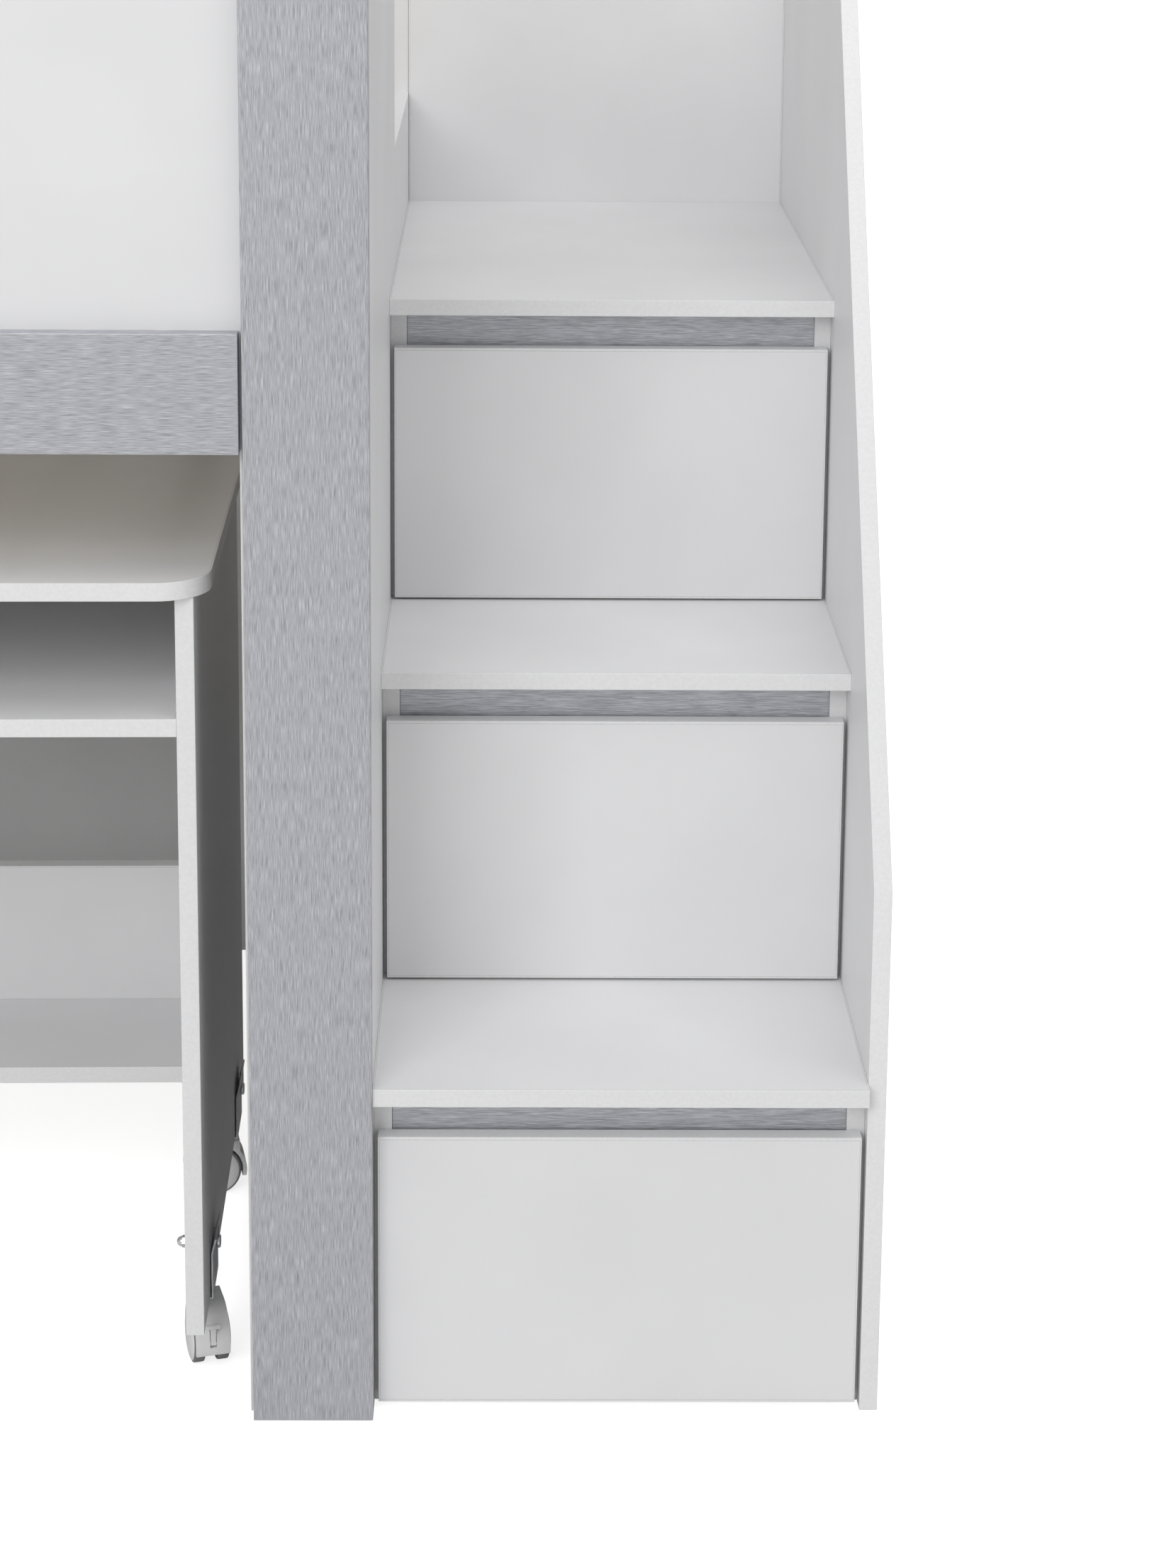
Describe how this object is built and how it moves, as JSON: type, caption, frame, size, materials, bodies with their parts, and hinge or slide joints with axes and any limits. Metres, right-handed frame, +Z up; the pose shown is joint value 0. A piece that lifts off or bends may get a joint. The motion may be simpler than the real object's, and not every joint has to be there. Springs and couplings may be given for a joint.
{
  "type": "loft bed with stairs and desk",
  "caption": "Mid-height loft bed with a panelled front, a drawer staircase at one end and a shelved desk on castors that rolls out from underneath.",
  "frame": {"origin": "bottom centre of the whole piece, on the floor", "axes": "+X along the bed towards the staircase, +Y from the open front towards the closed back, +Z up"},
  "size_m": [2.491, 1.0744, 1.3],
  "materials": {
    "white_board": "white melamine-faced particle board, fine matt texture",
    "foil_metal_look": "board faced with a brushed-aluminium look foil",
    "drawer_board": "white foil-wrapped particle board",
    "slat_wood": "planed pine, unfinished",
    "steel": "bright steel",
    "zinc_steel": "zinc-plated pressed steel",
    "chromed_steel": "bright chrome",
    "white_plastic": "satin moulded plastic",
    "wheel_plastic": "white moulded wheel with a grey soft tread"
  },
  "bodies": {
    "bed": {"post_right": "foil_metal_look", "post_left": "foil_metal_look", "bed_rail": "foil_metal_look", "guard_board": "white_board", "post_stiffeners": "white_board", "end_board": "white_board", "back_board_lower": "white_board", "back_board_upper": "white_board", "slat_bearers": "white_board", "slats": "slat_wood", "end_bolts": "steel", "stair_inner_side": "white_board", "stair_outer_side": "white_board", "stair_back": "white_board", "tread_1": "white_board", "tread_2": "white_board", "tread_3": "white_board", "band_1": "foil_metal_look", "band_2": "foil_metal_look", "band_3": "foil_metal_look", "drawer_cheeks": "white_board", "runner_channels": "zinc_steel"},
    "drawer_1": {"drawer_1_front": "white_board", "drawer_1_box": "drawer_board", "drawer_1_bottom": "drawer_board", "drawer_1_runners": "zinc_steel"},
    "drawer_2": {"drawer_2_front": "white_board", "drawer_2_box": "drawer_board", "drawer_2_bottom": "drawer_board", "drawer_2_runners": "zinc_steel"},
    "drawer_3": {"drawer_3_front": "white_board", "drawer_3_box": "drawer_board", "drawer_3_bottom": "drawer_board", "drawer_3_runners": "zinc_steel"},
    "desk": {"desk_top": "white_board", "desk_side_right": "white_board", "desk_side_left": "white_board", "desk_shelf": "white_board", "desk_low_shelf": "white_board", "desk_low_back": "white_board", "castor_brackets": "zinc_steel", "bracket_bolts": "chromed_steel", "bracket_nuts": "chromed_steel", "castor_pins": "steel"},
    "castor_front_right": {"hood_front_right": "white_plastic", "axle_front_right": "steel"},
    "wheels_pair_front_right": {"wheels_front_right": "wheel_plastic"},
    "castor_front_left": {"hood_front_left": "white_plastic", "axle_front_left": "steel"},
    "wheels_pair_front_left": {"wheels_front_left": "wheel_plastic"},
    "castor_rear_right": {"hood_rear_right": "white_plastic", "axle_rear_right": "steel"},
    "wheels_pair_rear_right": {"wheels_rear_right": "wheel_plastic"},
    "castor_rear_left": {"hood_rear_left": "white_plastic", "axle_rear_left": "steel"},
    "wheels_pair_rear_left": {"wheels_rear_left": "wheel_plastic"},
    "brake_lever_front_right": {"brake_front_right": "white_plastic"},
    "brake_lever_front_left": {"brake_front_left": "white_plastic"}
  },
  "joints": [
    {"name": "drawer_1_slide", "type": "slide", "parent": "bed", "child": "drawer_1", "axis": [0, -1, 0], "range_m": [0, 0.38]},
    {"name": "drawer_2_slide", "type": "slide", "parent": "bed", "child": "drawer_2", "axis": [0, -1, 0], "range_m": [0, 0.38]},
    {"name": "drawer_3_slide", "type": "slide", "parent": "bed", "child": "drawer_3", "axis": [0, -1, 0], "range_m": [0, 0.38]},
    {"name": "desk_roll", "type": "slide", "parent": "bed", "child": "desk", "axis": [0.0157, -0.9999, 0], "range_m": [-0.4, 0.6]},
    {"name": "castor_front_right_swivel", "type": "hinge", "parent": "desk", "child": "castor_front_right", "pos_m": [0.64036, -0.40696, 0.06], "axis": [0, 0, 1], "continuous": true},
    {"name": "castor_front_left_swivel", "type": "hinge", "parent": "desk", "child": "castor_front_left", "pos_m": [-0.54349, -0.42556, 0.06], "axis": [0, 0, 1], "continuous": true},
    {"name": "castor_rear_right_swivel", "type": "hinge", "parent": "desk", "child": "castor_rear_right", "pos_m": [0.63535, -0.088, 0.06], "axis": [0, 0, 1], "continuous": true},
    {"name": "castor_rear_left_swivel", "type": "hinge", "parent": "desk", "child": "castor_rear_left", "pos_m": [-0.5485, -0.10659, 0.06], "axis": [0, 0, 1], "continuous": true},
    {"name": "wheels_front_right_spin", "type": "hinge", "parent": "castor_front_right", "child": "wheels_pair_front_right", "pos_m": [0.64437, -0.42141, 0.025], "axis": [0.9636, 0.2672, 0], "continuous": true},
    {"name": "wheels_front_left_spin", "type": "hinge", "parent": "castor_front_left", "child": "wheels_pair_front_left", "pos_m": [-0.53948, -0.44001, 0.025], "axis": [0.9636, 0.2672, 0], "continuous": true},
    {"name": "wheels_rear_right_spin", "type": "hinge", "parent": "castor_rear_right", "child": "wheels_pair_rear_right", "pos_m": [0.62062, -0.09083, 0.025], "axis": [0.1891, -0.982, 0], "continuous": true},
    {"name": "wheels_rear_left_spin", "type": "hinge", "parent": "castor_rear_left", "child": "wheels_pair_rear_left", "pos_m": [-0.56323, -0.10943, 0.025], "axis": [0.1891, -0.982, 0], "continuous": true},
    {"name": "brake_front_right_lever", "type": "hinge", "parent": "castor_front_right", "child": "brake_lever_front_right", "pos_m": [0.65205, -0.44909, 0.029], "axis": [0.9636, 0.2672, 0], "range_deg": [0, 20]},
    {"name": "brake_front_left_lever", "type": "hinge", "parent": "castor_front_left", "child": "brake_lever_front_left", "pos_m": [-0.53181, -0.46769, 0.029], "axis": [0.9636, 0.2672, 0], "range_deg": [0, 20]}
  ]
}
